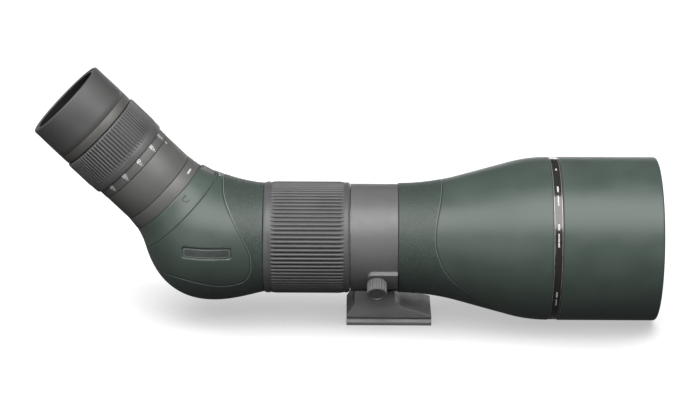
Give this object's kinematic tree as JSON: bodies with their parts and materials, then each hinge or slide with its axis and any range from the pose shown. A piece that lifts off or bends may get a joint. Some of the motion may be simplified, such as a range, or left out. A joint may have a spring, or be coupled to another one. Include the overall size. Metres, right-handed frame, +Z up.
{
  "type": "angled spotting scope",
  "caption": "Angled spotting scope: belled objective body with sliding sunshade, ribbed focus ring, rotating tripod collar with dovetail foot, and tilted zoom eyepiece with twist-up eyecup.",
  "frame": {"origin": "mouth of the tripod thread, at the centre of the foot's underside", "axes": "+X along the optical axis towards the objective, +Z up out of the foot; the lock knob is on the -Y side"},
  "size_m": [0.3902, 0.1036, 0.1615],
  "materials": {
    "armour_rubber": "fine matt armour",
    "grip_rubber": "matt ribbed",
    "eyecup_rubber": "matt",
    "gunmetal": "satin anodised",
    "collar_metal": "satin anodised",
    "ring_bronze": "satin anodised",
    "black_metal": "matt black anodised",
    "band_black": "gloss",
    "casting": "as cast, blackened",
    "steel": "bright",
    "seal": "smooth",
    "liner": "smooth acetal",
    "lens_glass": "coated, clear",
    "badge": "satin"
  },
  "bodies": {
    "mount": {"tripod_collar": "collar_metal", "collar_liner": "liner", "thread_insert": "steel"},
    "shoe": {"clamp_shoe": "liner"},
    "knob": {"clamp_screw": "steel", "lock_knob": "collar_metal"},
    "scope": {"main_barrel": "black_metal", "front_armour": "armour_rubber", "front_band": "band_black", "objective_tube": "black_metal", "hood_seals": "seal", "objective_cell": "black_metal", "objective_front_lens": "lens_glass", "objective_middle_lens": "lens_glass", "objective_rear_lens": "lens_glass", "lens_spacers": "black_metal", "lens_retaining_ring": "black_metal", "barrel_baffles": "black_metal", "collar_circlip": "steel", "housing_armour": "armour_rubber", "badge_plate": "badge", "prism_housing": "casting", "prism_screws": "steel", "prism_bracket": "casting", "roof_prism": "lens_glass", "neck_cover": "armour_rubber", "neck_screw": "steel", "latch_spring": "steel", "ocular_tube": "black_metal", "eyepiece_shell": "gunmetal", "eyepiece_base_ring": "gunmetal", "field_stop": "black_metal", "field_lens": "lens_glass", "inner_eye_lens": "lens_glass", "eye_lens_spacer": "black_metal", "eye_lens": "lens_glass", "eye_lens_retainer": "black_metal"},
    "hood": {"sunshade": "armour_rubber"},
    "focus_ring": {"focus_sleeve": "black_metal", "focus_grip": "grip_rubber"},
    "focus_group": {"focus_carriage": "black_metal", "focusing_lens": "lens_glass", "focusing_lens_keeper": "black_metal", "focus_drive_pin": "steel"},
    "latch": {"latch_tab": "gunmetal"},
    "zoom_ring": {"zoom_sleeve": "black_metal", "number_ring": "gunmetal", "zoom_grip": "gunmetal"},
    "front_zoom_group": {"front_zoom_cell": "black_metal", "front_zoom_lens": "lens_glass"},
    "rear_zoom_group": {"rear_zoom_cell": "black_metal", "rear_zoom_lens": "lens_glass"},
    "eyecup_lift": {"eyecup_lift_ring": "black_metal"},
    "eyecup": {"eyecup_sleeve": "ring_bronze", "eyecup_rubber": "eyecup_rubber"}
  },
  "joints": [
    {"name": "collar_turn", "type": "hinge", "parent": "mount", "child": "scope", "pos_m": [0, 0, 0.0525], "axis": [1, 0, 0], "continuous": true},
    {"name": "hood_slide", "type": "slide", "parent": "scope", "child": "hood", "axis": [1, 0, 0], "range_m": [0, 0.038]},
    {"name": "shoe_travel", "type": "slide", "parent": "mount", "child": "shoe", "axis": [0, -0.848, -0.5299], "range_m": [0, 0.00075]},
    {"name": "knob_turn", "type": "hinge", "parent": "shoe", "child": "knob", "pos_m": [-0.0079, -0.03816, 0.02865], "axis": [0, 0.848, 0.5299], "range_deg": [-270, 0]},
    {"name": "focus_turn", "type": "hinge", "parent": "scope", "child": "focus_ring", "pos_m": [0, 0, 0.0525], "axis": [1, 0, 0], "range_deg": [-240, 240]},
    {"name": "focus_travel", "type": "slide", "parent": "scope", "child": "focus_group", "axis": [1, 0, 0], "range_m": [-0.012, 0.012]},
    {"name": "zoom_turn", "type": "hinge", "parent": "scope", "child": "zoom_ring", "pos_m": [-0.1128, 0, 0.0525], "axis": [-0.7071, 0, 0.7071], "range_deg": [-65, 65]},
    {"name": "front_zoom_travel", "type": "slide", "parent": "scope", "child": "front_zoom_group", "axis": [-0.7071, 0, 0.7071], "range_m": [-0.00251, 0.00251]},
    {"name": "rear_zoom_travel", "type": "slide", "parent": "scope", "child": "rear_zoom_group", "axis": [-0.7071, 0, 0.7071], "range_m": [-0.00201, 0.00201]},
    {"name": "eyecup_lift_travel", "type": "slide", "parent": "scope", "child": "eyecup_lift", "axis": [-0.7071, 0, 0.7071], "range_m": [0, 0.01]},
    {"name": "eyecup_turn", "type": "hinge", "parent": "eyecup_lift", "child": "eyecup", "pos_m": [-0.1128, 0, 0.0525], "axis": [-0.7071, 0, 0.7071], "range_deg": [0, 150]},
    {"name": "latch_press", "type": "slide", "parent": "scope", "child": "latch", "axis": [-0.7071, 0, -0.7071], "range_m": [0, 0.001], "stiffness_N_per_m": 400, "springref_m": -0.0005}
  ],
  "couplings": [
    {"joint": "knob_turn", "follows": "shoe_travel", "rad_per_m": -6283.2},
    {"joint": "focus_travel", "follows": "focus_turn", "m_per_rad": -0.0028648},
    {"joint": "front_zoom_travel", "follows": "zoom_turn", "m_per_rad": -0.0022037},
    {"joint": "rear_zoom_travel", "follows": "zoom_turn", "m_per_rad": 0.001763},
    {"joint": "eyecup_turn", "follows": "eyecup_lift_travel", "rad_per_m": 261.8}
  ]
}
